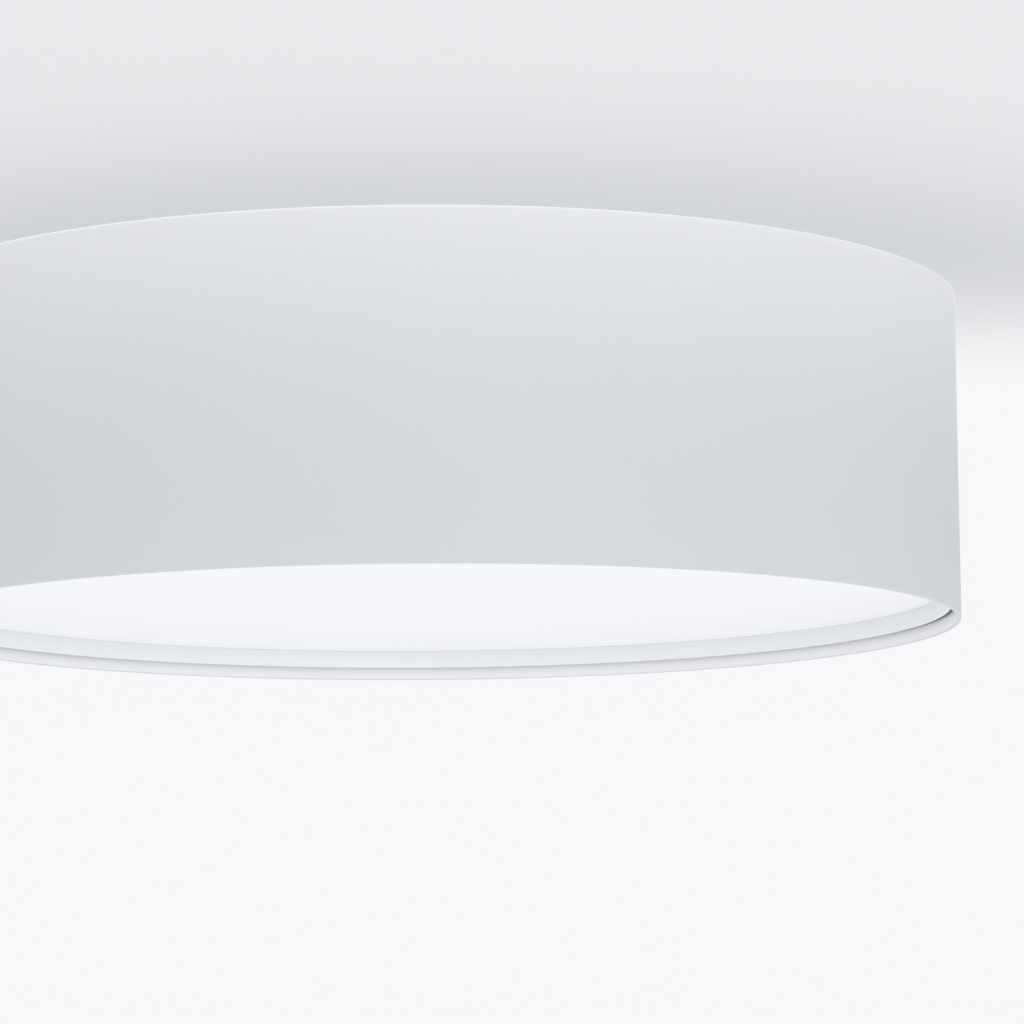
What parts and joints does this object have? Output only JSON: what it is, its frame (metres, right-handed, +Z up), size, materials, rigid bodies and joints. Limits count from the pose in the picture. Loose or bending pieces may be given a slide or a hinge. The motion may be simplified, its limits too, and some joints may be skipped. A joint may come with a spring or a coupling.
{
  "type": "flush mount ceiling light",
  "caption": "Round drum ceiling light with a steel shade that twists onto a ceiling pan, a snap-in opal diffuser and screw-in bulbs inside.",
  "frame": {"origin": "middle of the pan's rim, in the plane of the ceiling", "axes": "+Z up into the ceiling, which is the fixing's axis and the shortest way through the light; +Y along the first bulb"},
  "size_m": [0.4999, 0.5, 0.152],
  "materials": {
    "white_shade_paint": "fine satin powder coat",
    "white_pan_paint": "satin powder coat",
    "frame_plastic": "fine satin moulding",
    "opal_acrylic": "opal acrylic, satin face",
    "zinc_plated_steel": "bright zinc plate",
    "spring_steel": "plain spring steel",
    "grommet_rubber": "soft matt",
    "terminal_moulding": "natural polyamide",
    "clamp_moulding": "moulded",
    "brass_plated": "nickel-brass",
    "shell_brass": "drawn brass",
    "earth_insulation": "extruded insulation",
    "lead_sleeve": "varnished glass-fibre sleeve",
    "holder_moulding": "thermoset moulding",
    "contact_solder": "tinned",
    "bulb_cap_metal": "drawn and plated",
    "bulb_plastic": "satin moulding",
    "bulb_opal": "opal, satin"
  },
  "bodies": {
    "ceiling_base": {"ceiling_pan": "white_pan_paint", "cable_grommet": "grommet_rubber", "terminal_block": "terminal_moulding", "terminal_screws": "brass_plated", "block_screws": "zinc_plated_steel", "cable_clamp": "clamp_moulding", "clamp_screws": "zinc_plated_steel", "earth_screw": "zinc_plated_steel", "earth_lead": "earth_insulation", "bracket_screws": "zinc_plated_steel", "holder_nipples": "zinc_plated_steel", "lock_nuts": "zinc_plated_steel", "shade_stud_1": "zinc_plated_steel", "shade_stud_2": "zinc_plated_steel", "shade_stud_3": "zinc_plated_steel", "holder_bracket_1": "zinc_plated_steel", "holder_bracket_2": "zinc_plated_steel", "holder_bracket_3": "zinc_plated_steel", "holder_body_1": "holder_moulding", "holder_body_2": "holder_moulding", "holder_body_3": "holder_moulding", "holder_shell_1": "shell_brass", "holder_shell_2": "shell_brass", "holder_shell_3": "shell_brass", "holder_contact_1": "shell_brass", "holder_contact_2": "shell_brass", "holder_contact_3": "shell_brass", "holder_lead_1": "lead_sleeve", "holder_lead_2": "lead_sleeve", "holder_lead_3": "lead_sleeve"},
    "shade": {"drum_shade": "white_shade_paint", "shade_ring": "white_shade_paint", "clip_rivets": "zinc_plated_steel", "clip_bracket_1": "zinc_plated_steel", "clip_bracket_2": "zinc_plated_steel", "clip_bracket_3": "zinc_plated_steel", "spring_clip_1": "spring_steel", "spring_clip_2": "spring_steel", "spring_clip_3": "spring_steel"},
    "diffuser": {"diffuser_frame": "frame_plastic", "opal_diffuser": "opal_acrylic", "snap_stud_1": "zinc_plated_steel", "snap_stud_2": "zinc_plated_steel", "snap_stud_3": "zinc_plated_steel"},
    "bulb_1_tip": {"bulb_contact_1": "contact_solder"},
    "bulb_1": {"bulb_cap_1": "bulb_cap_metal", "bulb_housing_1": "bulb_plastic", "bulb_globe_1": "bulb_opal"},
    "bulb_2_tip": {"bulb_contact_2": "contact_solder"},
    "bulb_2": {"bulb_cap_2": "bulb_cap_metal", "bulb_housing_2": "bulb_plastic", "bulb_globe_2": "bulb_opal"},
    "bulb_3_tip": {"bulb_contact_3": "contact_solder"},
    "bulb_3": {"bulb_cap_3": "bulb_cap_metal", "bulb_housing_3": "bulb_plastic", "bulb_globe_3": "bulb_opal"}
  },
  "joints": [
    {"name": "shade_twist", "type": "hinge", "parent": "ceiling_base", "child": "shade", "pos_m": [0, 0, 0], "axis": [0, 0, -1], "range_deg": [0, 15]},
    {"name": "diffuser_pull", "type": "slide", "parent": "shade", "child": "diffuser", "axis": [0, 0, -1], "range_m": [0, 0.15], "deforming": ["spring_clip_1", "spring_clip_2", "spring_clip_3"]},
    {"name": "bulb_1_travel", "type": "slide", "parent": "ceiling_base", "child": "bulb_1_tip", "axis": [0, 1, 0], "range_m": [0, 0.01275]},
    {"name": "bulb_1_turn", "type": "hinge", "parent": "bulb_1_tip", "child": "bulb_1", "pos_m": [0, 0.084, -0.07], "axis": [0, 1, 0], "range_deg": [0, 1260]},
    {"name": "bulb_2_travel", "type": "slide", "parent": "ceiling_base", "child": "bulb_2_tip", "axis": [-0.866, -0.5, 0], "range_m": [0, 0.01275]},
    {"name": "bulb_2_turn", "type": "hinge", "parent": "bulb_2_tip", "child": "bulb_2", "pos_m": [-0.07275, -0.042, -0.07], "axis": [-0.866, -0.5, 0], "range_deg": [0, 1260]},
    {"name": "bulb_3_travel", "type": "slide", "parent": "ceiling_base", "child": "bulb_3_tip", "axis": [0.866, -0.5, 0], "range_m": [0, 0.01275]},
    {"name": "bulb_3_turn", "type": "hinge", "parent": "bulb_3_tip", "child": "bulb_3", "pos_m": [0.07275, -0.042, -0.07], "axis": [0.866, -0.5, 0], "range_deg": [0, 1260]}
  ],
  "couplings": [
    {"joint": "bulb_1_travel", "follows": "bulb_1_turn", "m_per_rad": 0.0005775},
    {"joint": "bulb_2_travel", "follows": "bulb_2_turn", "m_per_rad": 0.0005775},
    {"joint": "bulb_3_travel", "follows": "bulb_3_turn", "m_per_rad": 0.0005775}
  ]
}
